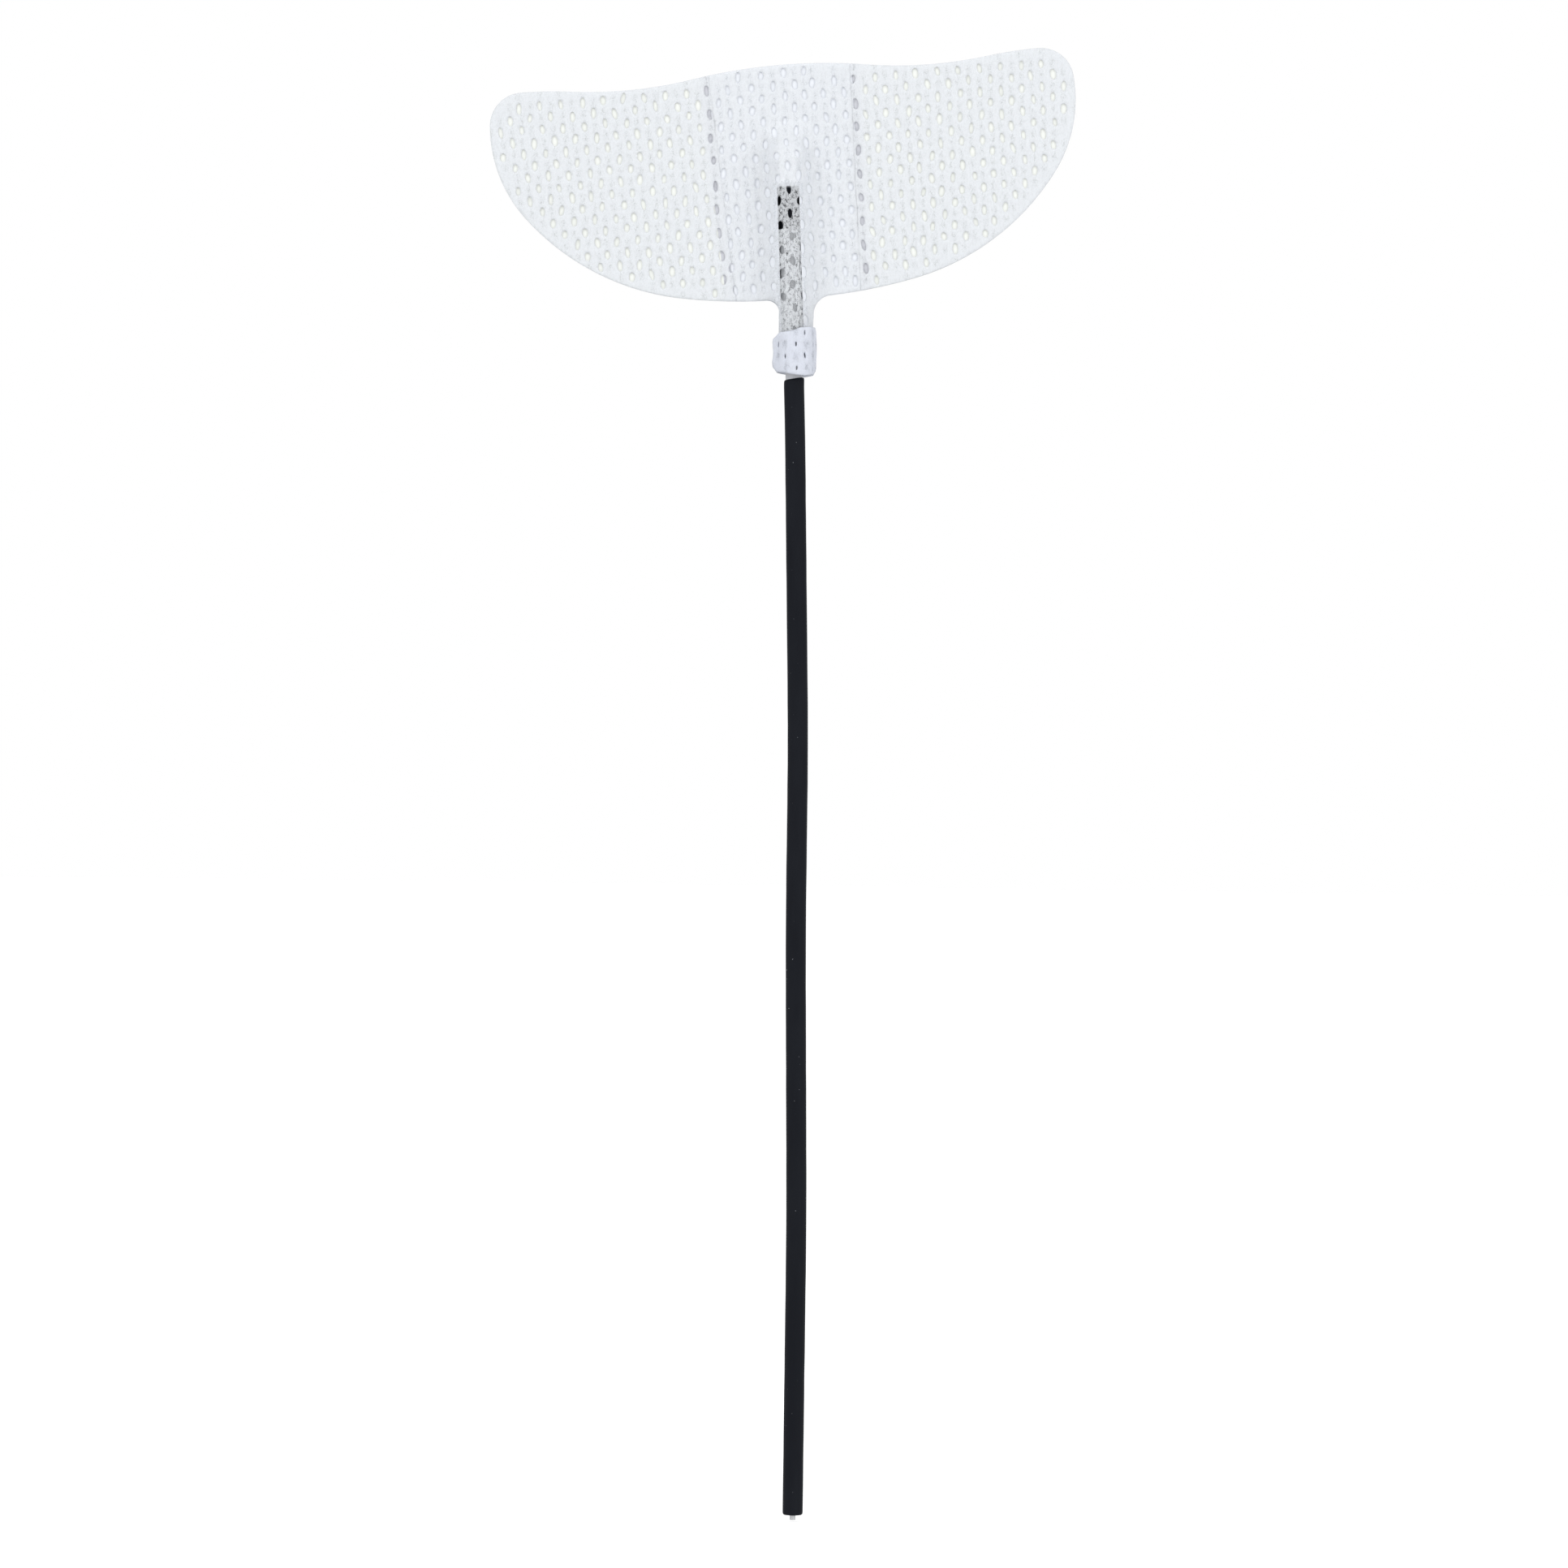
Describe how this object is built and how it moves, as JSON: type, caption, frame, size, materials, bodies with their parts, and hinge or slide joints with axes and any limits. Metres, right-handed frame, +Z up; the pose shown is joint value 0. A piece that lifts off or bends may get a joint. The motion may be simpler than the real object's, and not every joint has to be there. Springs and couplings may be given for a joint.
{
  "type": "pheromone insect trap",
  "caption": "Sticky cloth insect trap: a white wing-shaped adhesive cloth head with fold-out wings and peel-off liners, holding a lure on top of a thin black coated wire stem.",
  "frame": {"origin": "centre of the lower end face of the stem's black sleeve, on the axis of its straight foot", "axes": "+Z up along the stem's straight foot, +X to the right as the cloth front is seen, -Y the way the cloth front faces"},
  "size_m": [0.0865, 0.0056, 0.2183],
  "materials": {
    "steel_wire": "cut end of bare steel wire, dull",
    "pale_tube": "natural pale plastic, matte",
    "black_coat": "satin black soft coat with a little dust",
    "lure_rubber": "off-white rubber, matte",
    "cloth": "white apertured nonwoven cloth, soft and slightly see-through",
    "adhesive": "cream adhesive film, slightly tacky",
    "strip": "cool white backing strip, matte",
    "liner": "cream release paper with a light silicone sheen"
  },
  "bodies": {
    "stem_and_centre": {"core_wire": "steel_wire", "inner_tube": "pale_tube", "lower_sleeve": "black_coat", "upper_sleeve": "black_coat", "stem_wrap": "cloth", "lure": "lure_rubber", "front_cloth": "cloth", "centre_adhesive": "adhesive", "backing_strip": "strip", "neck_band": "cloth"},
    "left_wing": {"left_wing_cloth": "cloth", "left_adhesive": "adhesive"},
    "left_liner": {"left_liner": "liner"},
    "right_wing": {"right_wing_cloth": "cloth", "right_adhesive": "adhesive"},
    "right_liner": {"right_liner": "liner"}
  },
  "joints": [
    {"name": "left_wing_fold", "type": "hinge", "parent": "stem_and_centre", "child": "left_wing", "pos_m": [-0.01394, 0.00172, 0.19648], "axis": [0.1355, 0, -0.9908], "range_deg": [-90, 90]},
    {"name": "left_liner_pull", "type": "slide", "parent": "left_wing", "child": "left_liner", "axis": [-0.9908, 0, -0.1355], "range_m": [0, 0.033]},
    {"name": "right_wing_fold", "type": "hinge", "parent": "stem_and_centre", "child": "right_wing", "pos_m": [0.00756, 0.00172, 0.19862], "axis": [-0.0626, 0, 0.998], "range_deg": [-90, 90]},
    {"name": "right_liner_pull", "type": "slide", "parent": "right_wing", "child": "right_liner", "axis": [0.998, 0, 0.0626], "range_m": [0, 0.033]}
  ]
}
